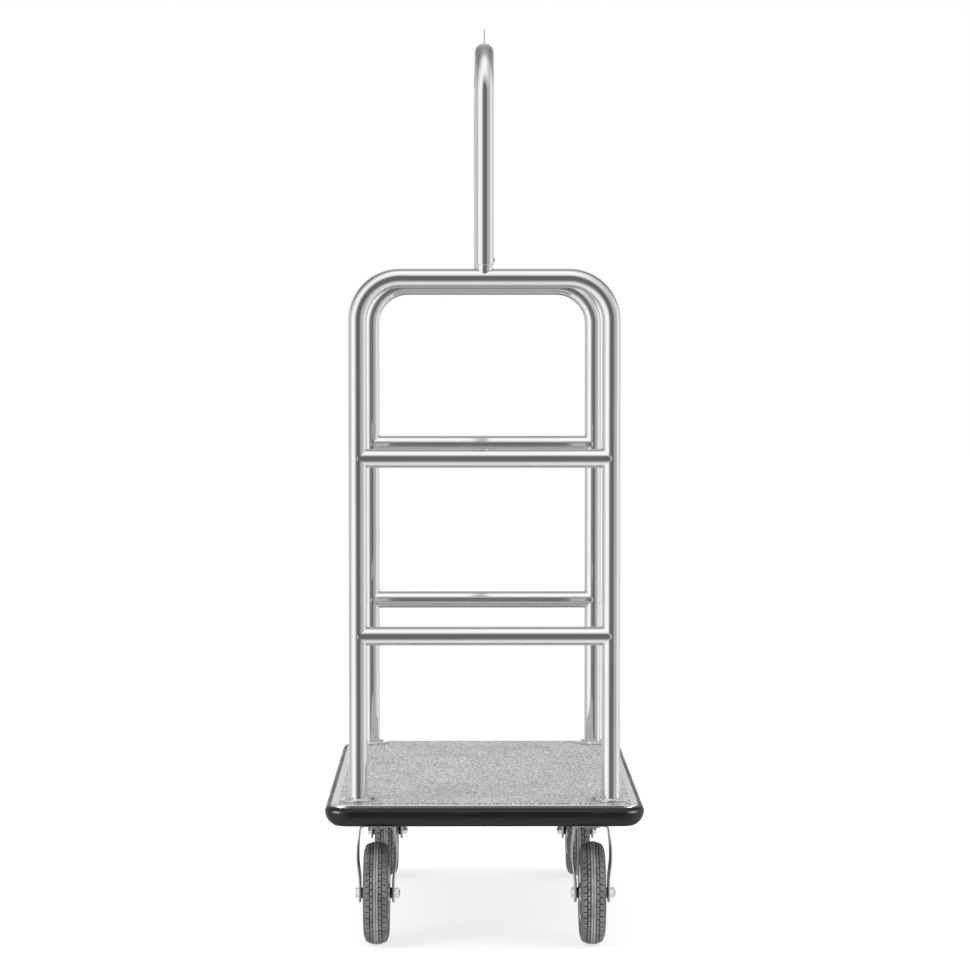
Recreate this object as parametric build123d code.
"""Hotel luggage cart: two bent-tube hoops, a hanging rail, a carpeted deck and four swivel casters.

Units are millimetres.  The origin is on the floor under the middle of the deck.
+X points to the cart's right, +Y to its rear and +Z up.  Left and front are -X and -Y.
Every separate piece is written to its own STEP file, named after its node.
"""
from build123d import *
from math import cos, radians, sin
import os

# ---- Tubes of the hoops and the hanging rail -------------------------------------------------
tube_d = 38.0            # outside diameter of every bent tube and crossbar
tube_wall = 2.0
bend_radius = 85.0       # centreline radius of every bend
leg_inset = 51.5         # from the deck board's long edge in to a leg's centreline
hoop_inset = 60.0        # from the deck board's short edge in to a hoop
hoop_top_z = 1345.5      # centreline of a hoop's top run
upper_bar_z = 985.5
lower_bar_z = 629.0
rail_rise = 455.5        # from a hoop's top centreline up to the rail's centreline
weld_gap = 0.1           # left between a coped tube end and the tube it is welded to

# ---- Joint between the hoops and the hanging rail ---------------------------------------------
rail_joint_rise = 7.5    # from the top of a hoop up to the lower end of the rail's legs
spigot_depth = 60.0      # how far a spigot reaches up inside the rail's leg
spigot_wall = 3.0
slip_gap = 0.15          # radial clearance of the spigot in the rail
set_screw_rise = 10.0    # from the lower end of the rail's legs
set_screw_d = 5.0
set_screw_head_d = 8.5
set_screw_head_t = 2.5
stop_pin_d = 3.0         # upright pins that keep hangers on the straight run
stop_pin_height = 29.0
stop_pin_inset = 5.0     # from the end of the straight run to a pin

# ---- Deck ---------------------------------------------------------------------------------------
deck_width = 610.0       # board and frame, without trim and bumper
deck_length = 1070.0
deck_corner = 35.0
carpet_t = 4.0
carpet_corner = 4.0
board_t = 18.0
frame_tube = 20.0        # square tube of the deck frame
frame_wall = 2.0
trim_t = 2.0
side_trim_width = 14.0   # width of the bright band along the sides
end_trim_width = 18.0    # the same along the front and the rear
trim_skirt = 5.5         # height of the trim's outer face
trim_wrap = 39.0         # how far a side trim's wrapped corner reaches along the end face
trim_split_gap = 0.5
trim_edge_round = 1.4

# ---- Bumper ---------------------------------------------------------------------------------------
bumper_depth = 15.0      # how far it stands out from the deck frame
bumper_nose_drop = 9.5   # from the bumper's top edge down to its widest line
bumper_lip_t = 3.5       # lip that wraps under the deck frame
bumper_lip_width = 15.0
bumper_screw_d = 4.0
bumper_screw_head_d = 8.0
bumper_screw_depth = 9.0
bumper_side_screws = 5
bumper_end_screws = 3
bumper_screw_margin = 90.0

# ---- Foot flanges -----------------------------------------------------------------------------------
flange_ledge = 19.0      # from the leg's surface out to the flange's rim
flange_t = 3.0
flange_bolt_ledge = 11.0  # from the leg's surface out to a bolt's centre
flange_bolt_d = 6.0
flange_bolt_head_d = 10.5
flange_bolt_head_t = 2.8
flange_nut_t = 5.0
flange_nut_flats = 10.0
flange_washer_d = 15.0
flange_washer_t = 1.2

# ---- Casters ------------------------------------------------------------------------------------------
caster_inset_x = 87.0    # from the deck board's edges in to a swivel axis
caster_inset_y = 145.0
trail = 42.5             # from the swivel axis to the axle
wheel_d = 207.5
tyre_width = 52.0
tyre_clearance = 29.0    # from the top of the tyre up to the fork's crown
plate_size = 105.0
plate_t = 4.0
plate_hole_spacing = 85.0
plate_corner = 8.0
plate_bolt_d = 8.0
plate_bolt_head_t = 5.3
plate_bolt_flats = 13.0
plate_nut_t = 6.5
race_d = 64.0            # bearing discs of the swivel head
plate_race_t = 6.0
fork_race_t = 6.0
race_gap = 1.0
ball_d = 7.0
ball_pitch_d = 48.0
ball_count = 14
ball_gap = 0.3
kingpin_d = 12.0
kingpin_head_d = 24.0
kingpin_head_t = 2.5
kingpin_cap_d = 50.0     # domed cap under the fork
kingpin_cap_h = 9.0
kingpin_cap_edge = 1.2
fork_t = 3.0
fork_bulge = 5.0         # how far the fork's legs bow out beyond their lower ends
fork_shoulder_inset = 2.5
fork_crown_length = 76.0
fork_shoulder_radius = 13.0
fork_eye_radius = 17.0   # rounded lower end of a fork leg
fork_eye_rise = 20.0     # straight part of the leg above the axle
run_gap = 0.3            # between faces that turn past each other
shaft_gap = 0.05         # radial clearance of a shaft in its bore
bolt_gap = 0.3           # radial clearance of a bolt in its hole

# ---- Wheels -------------------------------------------------------------------------------------------
axle_d = 12.0
axle_flats = 19.0
axle_head_t = 7.5
axle_nut_t = 10.0
axle_washer_d = 24.0
axle_washer_t = 1.5
axle_tail = 2.0          # bolt end that shows past the nut
spacer_d = 22.0
spacer_t = 4.2
bearing_d = 32.0
bearing_t = 10.0
hub_proud = 0.5          # how far the hub stands out past the tyre on each side
hub_wall = 3.5
hub_shoulder = 3.0       # step that the bearing seats against
rim_disc_t = 3.0
rim_seat_r = 50.8        # where the tyre's beads sit
rim_flange_r = 58.0
rim_inset = 2.0          # from the tyre's widest line in to the rim's flange
rim_wall = 3.0
rim_bolt_d = 6.0
rim_bolt_flats = 10.0
rim_bolt_head_t = 4.0
rim_bolt_count = 4
bead_gap = 0.2
bead_width = 9.0
bead_height = 8.0
tyre_wall = 6.0
tyre_groove_w = 1.6
tyre_groove_depth = 2.2
tyre_groove_x = 12.0     # of the two grooves in the tread, from its middle

# ---- Sizes that follow ----------------------------------------------------------------------------------
tube_r = tube_d / 2
bore_r = tube_r - tube_wall
half_width = deck_width / 2
half_length = deck_length / 2
leg_x = half_width - leg_inset
hoop_y = half_length - hoop_inset
caster_x = half_width - caster_inset_x
caster_y = half_length - caster_inset_y
trim_split_x = half_width - trim_wrap
flange_d = tube_d + 2 * flange_ledge
flange_pcd = tube_d + 2 * flange_bolt_ledge
rail_joint_z = hoop_top_z + tube_r + rail_joint_rise
set_screw_z = rail_joint_z + set_screw_rise
rail_top_z = hoop_top_z + rail_rise + tube_r
axle_z = wheel_d / 2
crown_low_z = wheel_d + tyre_clearance
crown_top_z = crown_low_z + fork_t
fork_race_z = crown_top_z + fork_race_t
plate_race_z = fork_race_z + race_gap
plate_low_z = plate_race_z + plate_race_t
frame_low_z = plate_low_z + plate_t
board_low_z = frame_low_z + frame_tube
board_top_z = board_low_z + board_t
deck_top_z = board_top_z + carpet_t
flange_top_z = deck_top_z + flange_t
trim_top_z = board_top_z + trim_t
trim_low_z = trim_top_z - trim_skirt
bumper_low_z = frame_low_z - bumper_lip_t
hub_half_width = tyre_width / 2 + hub_proud
rim_half_width = tyre_width / 2 - rim_inset
fork_inner = hub_half_width + run_gap + spacer_t
fork_outer = fork_inner + fork_t
UP = (Align.CENTER, Align.CENTER, Align.MIN)


# ---- Helpers -------------------------------------------------------------------------------------------
def post(radius, low, high, x=0.0, y=0.0):
    """Upright cylinder between two heights."""
    return Pos(x, y, low) * Cylinder(radius, high - low, align=UP)


def bar_x(radius, low, high, y=0.0, z=0.0):
    """Cylinder along X between two places."""
    return Pos(low, y, z) * Rot(0, 90, 0) * Cylinder(radius, high - low, align=UP)


def slab(width, length, corner, low, high):
    """Flat plate with rounded corners, centred on the cart."""
    outline = Pos(0, 0, low) * RectangleRounded(width, length, corner)
    return extrude(outline, amount=high - low, dir=(0, 0, 1))


def hexagon(flats, low, high):
    """Upright hexagon prism, measured across its flats."""
    outline = Pos(0, 0, low) * RegularPolygon(flats / 2, 6, major_radius=False)
    return extrude(outline, amount=high - low, dir=(0, 0, 1))


def dome(diameter, height, low):
    """Solid cap of a sphere, flat side down."""
    ball_r = (diameter ** 2 / 4 + height ** 2) / (2 * height)
    ball = Pos(0, 0, low + height - ball_r) * Sphere(ball_r)
    return ball & post(diameter / 2 + 1, low, low + height + 1)


def turned(points):
    """Solid turned about Z from an outline of (radius, z) points."""
    outline = Plane.XZ * make_face(Polyline(*points, close=True))
    return revolve(outline, Axis.Z)


def bent_tube(corners):
    """Round tube along straight runs joined by the common bend."""
    path = FilletPolyline(*corners, radius=bend_radius)
    start = Plane(path @ 0, z_dir=path % 0)
    outer = sweep(start * Circle(tube_r), path=path)
    inner = sweep(start * Circle(bore_r), path=path)
    return outer - inner


def deck_ring(section):
    """Carry a section of (outward, z) around the deck's rounded outline."""
    flat_x = half_width - deck_corner
    flat_y = half_length - deck_corner
    side = extrude(Pos(half_width, 0, 0) * section, amount=flat_y, dir=(0, 1, 0))
    axis = Axis((flat_x, flat_y, 0), (0, 0, 1))
    corner = revolve(Pos(half_width, flat_y, 0) * section, axis, revolution_arc=90)
    end = extrude(Pos(0, half_length, 0) * Rot(0, 0, 90) * section, amount=flat_x, dir=(1, 0, 0))
    quarter = side + corner + end
    half = quarter + mirror(quarter, about=Plane.YZ)
    return half + mirror(half, about=Plane.XZ)


def group(pieces):
    """Several separate solids in one node."""
    solids = []
    for piece in pieces:
        solids.extend(piece.solids())
    return Compound(solids)


def four_corners(x, y):
    """The four places that mirror each other across the cart."""
    return [(sx * x, sy * y) for sy in (-1, 1) for sx in (-1, 1)]


# ---- Upper frame -----------------------------------------------------------------------------------------
def hoop(side):
    """One upright hoop; side is -1 at the front and 1 at the rear."""
    y = side * hoop_y
    return bent_tube([
        (-leg_x, y, flange_top_z),
        (-leg_x, y, hoop_top_z),
        (leg_x, y, hoop_top_z),
        (leg_x, y, flange_top_z),
    ])


def crossbar(side, z):
    """Straight tube between the legs, its ends coped to their round."""
    y = side * hoop_y
    bar = bar_x(tube_r, -leg_x, leg_x, y, z) - bar_x(bore_r, -leg_x, leg_x, y, z)
    for x in (-leg_x, leg_x):
        bar -= post(tube_r + weld_gap, z - tube_d, z + tube_d, x, y)
    return bar


def screw_axis(side, radius, low, high):
    """Cylinder on a set screw's axis, which points along +X."""
    return bar_x(radius, low, high, side * hoop_y, set_screw_z)


def hanging_rail():
    """Inverted U over the cart's length, carried by the two hoops."""
    top = rail_top_z - tube_r
    rail = bent_tube([
        (0, -hoop_y, rail_joint_z),
        (0, -hoop_y, top),
        (0, hoop_y, top),
        (0, hoop_y, rail_joint_z),
    ])
    for side in (-1, 1):
        rail -= screw_axis(side, set_screw_d / 2 + slip_gap, 0, tube_d)
        rail -= post(stop_pin_d / 2 + slip_gap, top, rail_top_z + 1, 0, side * stop_pin_y())
    return rail


def rail_spigot(side):
    """Short tube on top of a hoop that the rail's leg slips over."""
    y = side * hoop_y
    outer_r = bore_r - slip_gap
    spigot = post(outer_r, hoop_top_z, rail_joint_z + spigot_depth, 0, y)
    spigot -= post(outer_r - spigot_wall, hoop_top_z, rail_joint_z + spigot_depth, 0, y)
    spigot -= bar_x(tube_r + weld_gap, -tube_d, tube_d, y, hoop_top_z)
    return spigot - screw_axis(side, set_screw_d / 2 + slip_gap, 0, tube_d)


def rail_set_screw(side):
    """Domed screw that locks a rail leg to its spigot."""
    reach = bore_r - slip_gap - spigot_wall - 1
    shank = screw_axis(side, set_screw_d / 2, reach, tube_r)
    head = Pos(tube_r, side * hoop_y, set_screw_z) * Rot(0, 90, 0) * dome(
        set_screw_head_d, set_screw_head_t, 0)
    return shank + head


def stop_pin_y():
    """Distance from the cart's middle to a hanger stop pin."""
    return hoop_y - bend_radius - stop_pin_inset


def hanger_stop_pin(side):
    """Upright pin near one end of the rail's straight run."""
    radius = stop_pin_d / 2
    y = side * stop_pin_y()
    tip_z = rail_top_z + stop_pin_height
    pin = post(radius, rail_top_z - tube_wall, tip_z - radius, 0, y)
    return pin + Pos(0, y, tip_z - radius) * Sphere(radius)


# ---- Foot flanges ------------------------------------------------------------------------------------------
def flange_holes():
    """Places of the four bolts around one leg, from the leg's centre."""
    reach = flange_pcd / 2
    angles = [radians(45 + 90 * i) for i in range(4)]
    return [(reach * cos(a), reach * sin(a)) for a in angles]


def all_flange_holes():
    """Places of all sixteen flange bolts on the deck."""
    legs = four_corners(leg_x, hoop_y)
    return [(x + dx, y + dy) for x, y in legs for dx, dy in flange_holes()]


def drill_deck(plate):
    """Cut the flange bolt holes through a deck layer."""
    for x, y in all_flange_holes():
        plate -= post(flange_bolt_d / 2 + bolt_gap, board_low_z - 1, flange_top_z + 1, x, y)
    return plate


def foot_flange(x, y):
    """Round plate under one leg."""
    return drill_deck(post(flange_d / 2, deck_top_z, flange_top_z, x, y))


def flange_bolt(x, y):
    """Domed bolt down through flange, carpet and board, with its washer and nut."""
    washer_low = board_low_z - flange_washer_t
    nut_low = washer_low - flange_nut_t
    hole = post(flange_bolt_d / 2 + weld_gap, nut_low, board_low_z)
    bolt = post(flange_bolt_d / 2, nut_low - 1, flange_top_z)
    bolt += dome(flange_bolt_head_d, flange_bolt_head_t, flange_top_z)
    washer = post(flange_washer_d / 2, washer_low, board_low_z) - hole
    nut = hexagon(flange_nut_flats, nut_low, washer_low) - hole
    return [Pos(x, y, 0) * piece for piece in (bolt, washer, nut)]


# ---- Deck ---------------------------------------------------------------------------------------------------
def carpet():
    """Carpet inlay inside the edge trim."""
    width = 2 * (half_width + trim_t - side_trim_width)
    length = 2 * (half_length + trim_t - end_trim_width)
    return drill_deck(slab(width, length, carpet_corner, board_top_z, deck_top_z))


def deck_board():
    """Plywood board under the carpet."""
    return drill_deck(slab(deck_width, deck_length, deck_corner, board_low_z, board_top_z))


def deck_frame():
    """Square tube bent into a ring under the board's edge."""
    outline = Pos(-frame_tube / 2, (frame_low_z + board_low_z) / 2) * (
        Rectangle(frame_tube, frame_tube)
        - Rectangle(frame_tube - 2 * frame_wall, frame_tube - 2 * frame_wall))
    ring = deck_ring(Plane.XZ * outline)
    for x, y in bumper_screw_places():
        ring -= post(bumper_screw_d / 2 + weld_gap, frame_low_z - 1, frame_low_z + 4, x, y)
    return ring


def cross_tube(y, drilled=True):
    """Square tube between the long sides of the deck frame."""
    length = deck_width - 2 * frame_tube
    middle = Pos(0, y, frame_low_z + frame_tube / 2)
    inner = frame_tube - 2 * frame_wall
    tube = middle * (Box(length, frame_tube, frame_tube) - Box(length, inner, inner))
    if drilled:
        for x in [sx * caster_x + dx for sx in (-1, 1) for dx in plate_hole_offsets()]:
            tube -= post(plate_bolt_d / 2 + bolt_gap, frame_low_z - 1, frame_low_z + 4, x, y)
    return tube


def trim_ring():
    """Edge trim before it is cut into its four lengths."""
    outer_w = deck_width + 2 * trim_t
    outer_l = deck_length + 2 * trim_t
    corner = deck_corner + trim_t
    ring = slab(outer_w, outer_l, corner, trim_low_z, trim_top_z)
    outer_edges = ring.faces().sort_by(Axis.Z)[-1].edges()
    ring = fillet(outer_edges, trim_edge_round)
    ring -= slab(deck_width, deck_length, deck_corner, trim_low_z - 1, board_top_z)
    inner_w = outer_w - 2 * side_trim_width
    inner_l = outer_l - 2 * end_trim_width
    return ring - slab(inner_w, inner_l, carpet_corner, trim_low_z - 1, trim_top_z + 1)


def side_trim(side):
    """Trim along one long side, with both of its corners."""
    reach = half_width + trim_t + 1
    width = reach - trim_split_x
    middle = side * (trim_split_x + width / 2)
    return trim_ring() & Pos(middle, 0, trim_top_z) * Box(width, deck_length + 20, 40)


def end_strip(side):
    """Trim between the wrapped corners at the front or the rear."""
    width = 2 * (trim_split_x - trim_split_gap)
    return trim_ring() & Pos(0, side * half_length, trim_top_z) * Box(width, 60, 40)


# ---- Bumper -------------------------------------------------------------------------------------------------
def bumper_screw_places():
    """Places of the screws along the middle of the bumper's lip."""
    x_line = half_width - bumper_lip_width / 2
    y_line = half_length - bumper_lip_width / 2
    places = []
    for i in range(bumper_side_screws):
        share = 2 * i / (bumper_side_screws - 1) - 1
        y = share * (half_length - bumper_screw_margin)
        places += [(-x_line, y), (x_line, y)]
    for i in range(bumper_end_screws):
        share = 2 * i / (bumper_end_screws - 1) - 1
        x = share * (half_width - bumper_screw_margin)
        places += [(x, -y_line), (x, y_line)]
    return places


def bumper_screw(gap=0.0):
    """Countersunk screw up through the lip, or its hole where a gap is given."""
    head_r = bumper_screw_head_d / 2 + gap
    shank_r = bumper_screw_d / 2 + gap
    cone_top = bumper_low_z + head_r - shank_r
    top = bumper_low_z + bumper_screw_depth
    return turned([(0, bumper_low_z), (head_r, bumper_low_z), (shank_r, cone_top),
                   (shank_r, top), (0, top)])


def bumper():
    """Soft bumper in one piece around the deck frame."""
    nose_z = trim_low_z - bumper_nose_drop
    lip_in = -bumper_lip_width
    heel = -3.0
    back = Polyline((heel, bumper_low_z), (lip_in, bumper_low_z), (lip_in, frame_low_z),
                    (0, frame_low_z), (0, trim_low_z), (trim_t, trim_low_z))
    top = ThreePointArc((trim_t, trim_low_z),
                        (0.76 * bumper_depth, trim_low_z - 0.27 * bumper_nose_drop),
                        (bumper_depth, nose_z))
    drop = nose_z - bumper_low_z
    belly = ThreePointArc((bumper_depth, nose_z),
                          (0.66 * bumper_depth, nose_z - 0.58 * drop),
                          (heel, bumper_low_z))
    ring = deck_ring(Plane.XZ * make_face(back + top + belly))
    hole = bumper_screw(weld_gap)
    for x, y in bumper_screw_places():
        ring -= Pos(x, y, 0) * hole
    return ring


# ---- Swivel heads -------------------------------------------------------------------------------------------
def plate_hole_offsets():
    """Offsets of the plate's holes from the swivel axis."""
    return (-plate_hole_spacing / 2, plate_hole_spacing / 2)


def ball_groove():
    """Ring cut into both bearing discs for the balls."""
    z = (plate_race_z + fork_race_z) / 2
    return Pos(0, 0, z) * Torus(ball_pitch_d / 2, ball_d / 2 + ball_gap)


def caster_plate():
    """Mounting plate with its bearing disc, at the swivel axis."""
    plate = slab(plate_size, plate_size, plate_corner, plate_low_z, frame_low_z)
    plate += post(race_d / 2, plate_race_z, plate_low_z)
    plate -= post(kingpin_d / 2 + weld_gap, plate_race_z - 1, frame_low_z + 1)
    plate -= post(kingpin_head_d / 2 + weld_gap, frame_low_z - kingpin_head_t, frame_low_z + 1)
    for x in plate_hole_offsets():
        for y in plate_hole_offsets():
            plate -= post(plate_bolt_d / 2 + bolt_gap, plate_low_z - 1, frame_low_z + 1, x, y)
    return plate - ball_groove()


def caster_bolt(x, y):
    """Hexagon bolt up through the plate and the frame tube's lower wall."""
    top = frame_low_z + frame_wall + plate_nut_t + 1
    bolt = post(plate_bolt_d / 2, plate_low_z, top)
    return Pos(x, y, 0) * (bolt + hexagon(plate_bolt_flats, plate_low_z - plate_bolt_head_t, plate_low_z))


def caster_weld_nut(x, y):
    """Nut welded inside the frame tube."""
    low = frame_low_z + frame_wall
    nut = hexagon(plate_bolt_flats, low, low + plate_nut_t)
    return Pos(x, y, 0) * (nut - post(plate_bolt_d / 2 + weld_gap, low - 1, low + plate_nut_t + 1))


def kingpin():
    """Swivel pin with a flush head above and a domed cap below."""
    pin_r = kingpin_d / 2
    head_r = kingpin_head_d / 2
    cap_r = kingpin_cap_d / 2
    cap_top = crown_low_z - run_gap
    edge_z = cap_top - kingpin_cap_edge
    head_z = frame_low_z - kingpin_head_t
    pin = post(pin_r, cap_top, head_z)
    head = post(head_r, head_z, frame_low_z)
    rim = post(cap_r, edge_z, cap_top)
    height = kingpin_cap_h - kingpin_cap_edge
    belly = Pos(0, 0, edge_z) * Rot(180, 0, 0) * dome(kingpin_cap_d, height, 0)
    return pin + head + rim + belly


def swivel_balls():
    """Ring of bearing balls between the two discs."""
    z = (plate_race_z + fork_race_z) / 2
    places = [360 * i / ball_count for i in range(ball_count)]
    return [Rot(0, 0, a) * Pos(ball_pitch_d / 2, 0, z) * Sphere(ball_d / 2) for a in places]


# ---- Fork and axle, with the swivel axis on Z and the axle towards -Y ---------------------------------------
def fork_band():
    """Front view of the pressed fork: bowed legs under a flat crown."""
    bow = fork_outer + fork_bulge
    shoulder = bow - fork_shoulder_inset
    eye_top = axle_z + fork_eye_rise
    rise = crown_top_z - eye_top
    low = axle_z - fork_eye_radius - 10
    right = [(fork_outer, low), (fork_outer, eye_top), (bow, eye_top + 0.3 * rise),
             (bow, eye_top + 0.62 * rise), (shoulder, crown_top_z)]
    left = [(-x, z) for x, z in reversed(right)]
    soft = 60.0
    radii = [1.0, soft, soft, soft, fork_shoulder_radius]
    outline = make_face(FilletPolyline(*right, *left, radius=radii + radii[::-1], close=True))
    return Plane.XZ * (outline - offset(outline, -fork_t))


def fork_side():
    """Side view of the fork: wide crown tapering to round eyes at the axle."""
    eye = Pos(-trail, axle_z) * Circle(fork_eye_radius)
    half = fork_crown_length / 2
    crown = Polyline((-half, crown_low_z - 12), (-half, crown_top_z), (half, crown_top_z),
                     (half, crown_low_z - 12), close=True)
    return Plane.YZ * make_hull(eye.edges() + crown.edges())


def fork():
    """Pressed steel fork with its bearing disc and bores."""
    band = extrude(fork_band(), amount=2 * race_d, both=True)
    side = extrude(fork_side(), amount=2 * race_d, both=True)
    body = band & side
    body += post(race_d / 2, crown_top_z, fork_race_z)
    body -= post(kingpin_d / 2 + shaft_gap, crown_low_z - 1, fork_race_z + 1)
    body -= ball_groove()
    return body - bar_x(axle_d / 2 + weld_gap, -race_d, race_d, -trail, axle_z)


def along_axle(shape, x):
    """Lay an upright piece on the axle with its low end at x."""
    return Pos(x, -trail, axle_z) * Rot(0, 90, 0) * shape


def axle_bolt():
    """Axle bolt, its nut and two washers, as four solids."""
    hole = post(axle_d / 2 + weld_gap, -1, 100)
    washer = post(axle_washer_d / 2, 0, axle_washer_t) - hole
    seat = fork_outer + axle_washer_t
    length = 2 * seat + axle_nut_t + axle_tail
    bolt = hexagon(axle_flats, -axle_head_t, 0) + post(axle_d / 2, 0, length)
    nut = hexagon(axle_flats, 0, axle_nut_t) - hole
    return [along_axle(bolt, -seat), along_axle(washer, -seat), along_axle(washer, fork_outer),
            along_axle(nut, seat)]


def axle_spacers():
    """Two black bushings between the fork and the wheel's bearings."""
    ring = post(spacer_d / 2, 0, spacer_t) - post(axle_d / 2 + weld_gap, -1, spacer_t + 1)
    return [along_axle(ring, -fork_inner), along_axle(ring, fork_inner - spacer_t)]


# ---- Wheel, with the same axes as the fork --------------------------------------------------------------------
def rim_half(side):
    """One of the two pressed rim halves that are bolted together."""
    bearing_in = hub_half_width - bearing_t
    bearing_r = bearing_d / 2
    hub_r = bearing_r + hub_wall
    bore = bearing_r - hub_shoulder
    under = rim_seat_r - rim_wall
    half = turned([
        (bore, 0), (bore, bearing_in), (bearing_r, bearing_in), (bearing_r, hub_half_width),
        (hub_r, hub_half_width), (hub_r, rim_disc_t), (under - rim_wall, rim_disc_t),
        (under, 3 * rim_disc_t), (under, rim_half_width), (rim_flange_r, rim_half_width),
        (rim_flange_r, rim_half_width - rim_wall), (rim_seat_r, rim_half_width - rim_wall),
        (rim_seat_r, 0)])
    for x, y in rim_bolt_places():
        half -= post(rim_bolt_d / 2 + bolt_gap, -1, rim_disc_t + 1, x, y)
    return along_axle(half if side > 0 else mirror(half, about=Plane.XY), 0)


def rim_bolt_places():
    """Bolt places midway between the hub and the rim's well."""
    reach = (bearing_d / 2 + hub_wall + rim_seat_r - 2 * rim_wall) / 2
    angles = [radians(45 + 360 * i / rim_bolt_count) for i in range(rim_bolt_count)]
    return [(reach * cos(a), reach * sin(a)) for a in angles]


def rim_bolts():
    """Bolts and nuts that clamp the rim halves."""
    pieces = []
    end = rim_disc_t + rim_bolt_head_t
    hole = post(rim_bolt_d / 2 + weld_gap, -1, end + 2)
    for x, y in rim_bolt_places():
        shank = post(rim_bolt_d / 2, -rim_disc_t, end + 1)
        bolt = shank + hexagon(rim_bolt_flats, -end, -rim_disc_t)
        nut = hexagon(rim_bolt_flats, rim_disc_t, end) - hole
        pieces += [along_axle(Pos(x, y, 0) * bolt, 0), along_axle(Pos(x, y, 0) * nut, 0)]
    return pieces


def wheel_bearings():
    """Two ball bearings, each drawn as one shielded ring."""
    outer = bearing_d / 2 - weld_gap
    bore = axle_d / 2 + shaft_gap
    land = 3.0
    dish = 0.8
    ring = turned([
        (bore, 0), (outer, 0), (outer, bearing_t), (outer - land, bearing_t),
        (outer - land, bearing_t - dish), (bore + land, bearing_t - dish),
        (bore + land, bearing_t), (bore, bearing_t)])
    return [along_axle(ring, hub_half_width - bearing_t),
            along_axle(mirror(ring, about=Plane.XY), bearing_t - hub_half_width)]


def tyre_grooves():
    """Rings cut into the tread on each side of its middle."""
    crown = wheel_d / 2
    low = crown - tyre_groove_depth
    cut = []
    for x in (-tyre_groove_x, tyre_groove_x):
        ring = post(crown + 1, x - tyre_groove_w / 2, x + tyre_groove_w / 2)
        cut.append(ring - post(low, x - tyre_groove_w, x + tyre_groove_w))
    return cut


def tyre():
    """Hollow tyre with two beads on the rim."""
    crown = wheel_d / 2
    half = tyre_width / 2
    bead_out = rim_half_width - rim_wall - bead_gap
    bead_r = rim_seat_r + bead_gap
    lip_r = rim_flange_r + bead_gap
    middle_r = 0.55 * lip_r + 0.45 * crown
    shoulder_r = crown - 7.5
    shoulder_x = half - 4.0
    outer = [
        Line((bead_out, bead_r), (bead_out, lip_r)),
        ThreePointArc((bead_out, lip_r), (half, middle_r), (shoulder_x, shoulder_r)),
        ThreePointArc((shoulder_x, shoulder_r), (0, crown), (-shoulder_x, shoulder_r)),
        ThreePointArc((-shoulder_x, shoulder_r), (-half, middle_r), (-bead_out, lip_r)),
        Line((-bead_out, lip_r), (-bead_out, bead_r)),
    ]
    bead_in = bead_out - bead_width
    top = bead_r + bead_height
    inner = [
        Polyline((-bead_out, bead_r), (-bead_in, bead_r), (-bead_in, top)),
        ThreePointArc((-bead_in, top), (tyre_wall - half, middle_r),
                      (tyre_wall - shoulder_x, shoulder_r - tyre_wall / 2)),
        ThreePointArc((tyre_wall - shoulder_x, shoulder_r - tyre_wall / 2), (0, crown - tyre_wall),
                      (shoulder_x - tyre_wall, shoulder_r - tyre_wall / 2)),
        ThreePointArc((shoulder_x - tyre_wall, shoulder_r - tyre_wall / 2),
                      (half - tyre_wall, middle_r), (bead_in, top)),
        Polyline((bead_in, top), (bead_in, bead_r), (bead_out, bead_r)),
    ]
    section = make_face(Curve() + outer + inner)
    body = Rot(0, -90, 0) * revolve(section, Axis.X)
    for groove in tyre_grooves():
        body -= groove
    return along_axle(body, 0)


# ---- Assembly -----------------------------------------------------------------------------------------------
# name, x, y, turn about the swivel axis, side of the axle nut before turning
casters = [
    ("front_left", -caster_x, -caster_y, 0, 1),
    ("front_right", caster_x, -caster_y, 0, 1),
    ("rear_left", -caster_x, caster_y, 180, -1),
    ("rear_right", caster_x, caster_y, 180, 1),
]


def caster_nodes():
    """All nodes that swivel or roll, for the four casters."""
    nodes = {}
    for name, x, y, turn, nut_side in casters:
        place = Pos(x, y, 0) * Rot(0, 0, turn)
        hardware = axle_bolt()
        if nut_side < 0:
            hardware = [mirror(piece, about=Plane.YZ) for piece in hardware]
        pieces = {
            "fork": [fork()],
            "axle_bolt": hardware,
            "axle_spacers": axle_spacers(),
            "tyre": [tyre()],
            "rim_left_half": [rim_half(-1)],
            "rim_right_half": [rim_half(1)],
            "rim_bolts": rim_bolts(),
            "wheel_bearings": wheel_bearings(),
        }
        for piece_name, solids in pieces.items():
            nodes[f"{name}_{piece_name}"] = group([place * solid for solid in solids])
    return nodes


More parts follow.
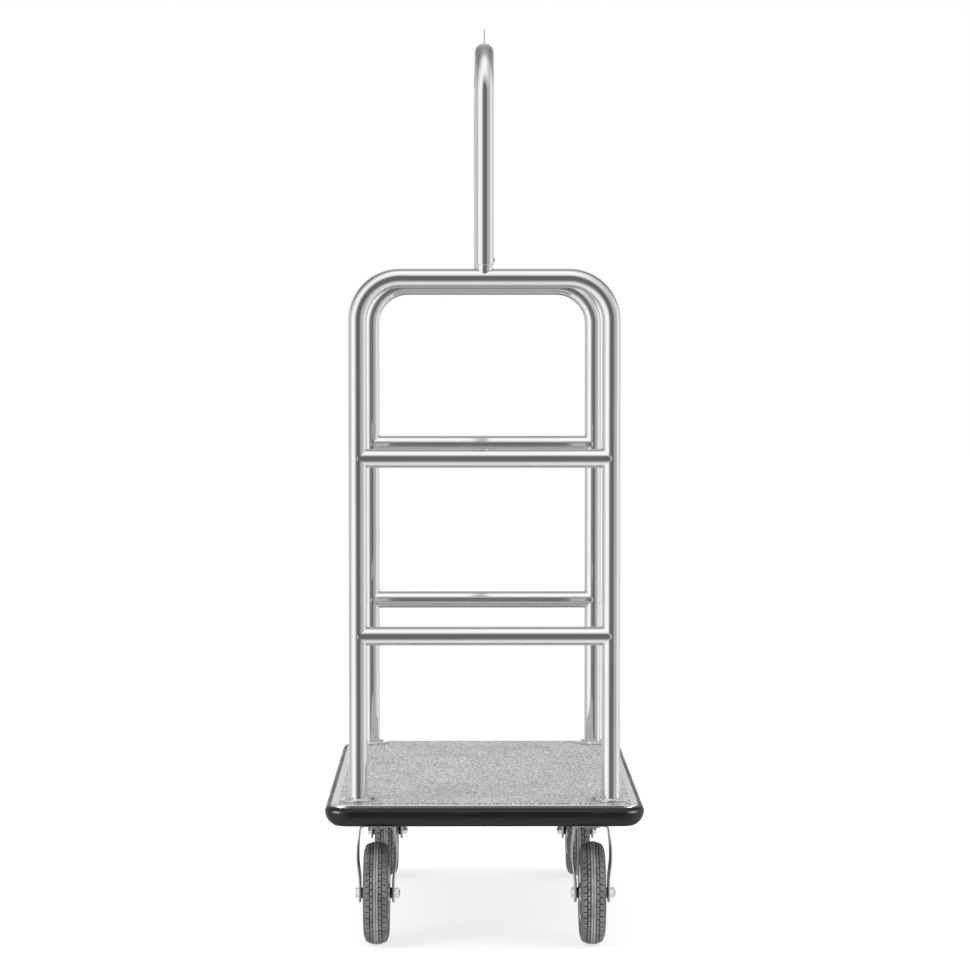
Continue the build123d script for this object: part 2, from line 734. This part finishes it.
def swivel_head_nodes():
    """Plates, bolts, nuts, kingpins and balls, fixed to the cart."""
    axes = four_corners(caster_x, caster_y)
    offsets = [(dx, dy) for dx in plate_hole_offsets() for dy in plate_hole_offsets()]
    bolts = [(x + dx, y + dy) for x, y in axes for dx, dy in offsets]
    return {
        "caster_plates": group([Pos(x, y, 0) * caster_plate() for x, y in axes]),
        "caster_bolts": group([caster_bolt(x, y) for x, y in bolts]),
        "caster_weld_nuts": group([caster_weld_nut(x, y) for x, y in bolts]),
        "kingpins": group([Pos(x, y, 0) * kingpin() for x, y in axes]),
        "swivel_balls": group([Pos(x, y, 0) * ball for x, y in axes for ball in swivel_balls()]),
    }


def deck_nodes():
    """Deck, frame, trim and bumper."""
    outer = caster_y + plate_hole_spacing / 2
    inner = caster_y - plate_hole_spacing / 2
    return {
        "carpet": carpet(),
        "deck_board": deck_board(),
        "deck_frame": deck_frame(),
        "front_cross_tubes": group([cross_tube(-outer), cross_tube(-inner)]),
        "rear_cross_tubes": group([cross_tube(inner), cross_tube(outer)]),
        "center_cross_tube": cross_tube(0, drilled=False),
        "left_edge_trim": side_trim(-1),
        "right_edge_trim": side_trim(1),
        "edge_trim_end_strips": group([end_strip(-1), end_strip(1)]),
        "bumper": bumper(),
        "bumper_screws": group([Pos(x, y, 0) * bumper_screw() for x, y in bumper_screw_places()]),
    }


def upper_nodes():
    """Hoops, crossbars, hanging rail and what fastens them."""
    legs = four_corners(leg_x, hoop_y)
    holes = all_flange_holes()
    nodes = {}
    for side, name in ((-1, "front"), (1, "rear")):
        nodes[f"{name}_hoop"] = hoop(side)
        nodes[f"{name}_upper_crossbar"] = crossbar(side, upper_bar_z)
        nodes[f"{name}_lower_crossbar"] = crossbar(side, lower_bar_z)
    nodes["hanging_rail"] = hanging_rail()
    nodes["rail_spigots"] = group([rail_spigot(side) for side in (-1, 1)])
    nodes["rail_set_screws"] = group([rail_set_screw(side) for side in (-1, 1)])
    nodes["hanger_stop_pins"] = group([hanger_stop_pin(side) for side in (-1, 1)])
    nodes["foot_flanges"] = group([foot_flange(x, y) for x, y in legs])
    nodes["flange_bolts"] = group([piece for x, y in holes for piece in flange_bolt(x, y)])
    return nodes


os.makedirs("parts", exist_ok=True)
all_nodes = {**upper_nodes(), **deck_nodes(), **swivel_head_nodes(), **caster_nodes()}
for node, shape in all_nodes.items():
    export_step(shape, f"parts/{node}.step")
print(len(all_nodes), "nodes")
